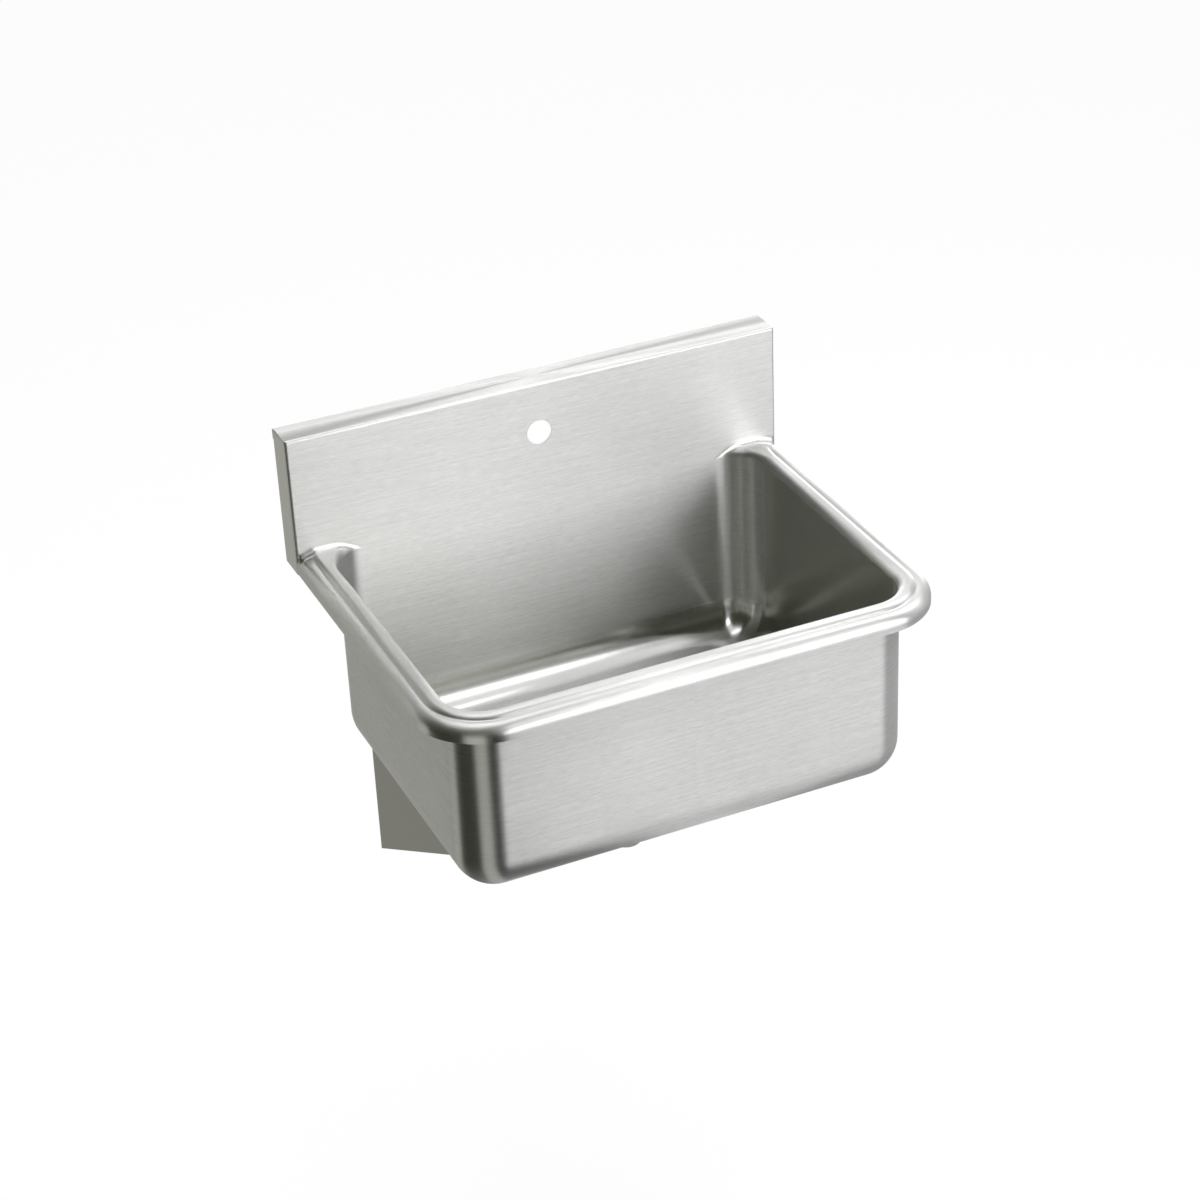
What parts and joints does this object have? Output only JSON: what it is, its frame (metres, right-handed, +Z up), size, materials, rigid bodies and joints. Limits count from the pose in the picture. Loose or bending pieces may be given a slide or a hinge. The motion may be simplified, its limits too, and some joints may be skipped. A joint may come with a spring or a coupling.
{
  "type": "hand sink",
  "caption": "Wall-hung stainless hand sink with a deep rounded bowl, stepped rim, boxed backsplash with one round tap hole, and triangular brackets beneath.",
  "frame": {"origin": "on the wall, at the centre of the wall hanger's back face, midway between the sink's ends", "axes": "+X along the wall, to the right of someone facing the sink; +Y into the wall; +Z up"},
  "size_m": [0.635, 0.4953, 0.625],
  "materials": {
    "satin_steel": "satin brushed stainless sheet, rim polished brighter",
    "bracket_steel": "plain mill-finish stainless plate",
    "fastener_steel": "plain bright fasteners",
    "drain_steel": "polished stainless drain",
    "tube_chrome": "bright chrome tube and nut",
    "rubber_black": "matte black rubber",
    "fibre_tan": "matte pressed fibre",
    "pad_grey": "matte grey damping sheet"
  },
  "bodies": {
    "root": {"basin": "satin_steel", "backsplash_panel": "satin_steel", "end_cap_left": "satin_steel", "end_cap_right": "satin_steel", "wall_hanger": "bracket_steel", "support_bracket_left": "bracket_steel", "support_bracket_right": "bracket_steel", "bracket_studs": "fastener_steel", "bracket_washers": "fastener_steel", "bracket_nuts": "fastener_steel", "drain_body": "drain_steel", "drain_grid": "drain_steel", "grid_screw": "fastener_steel", "drain_gasket": "rubber_black", "fibre_washer": "fibre_tan", "drain_locknut": "tube_chrome", "tailpiece": "tube_chrome", "tailpiece_washer": "rubber_black", "coupling_nut": "tube_chrome", "sound_pads": "pad_grey"}
  },
  "joints": []
}
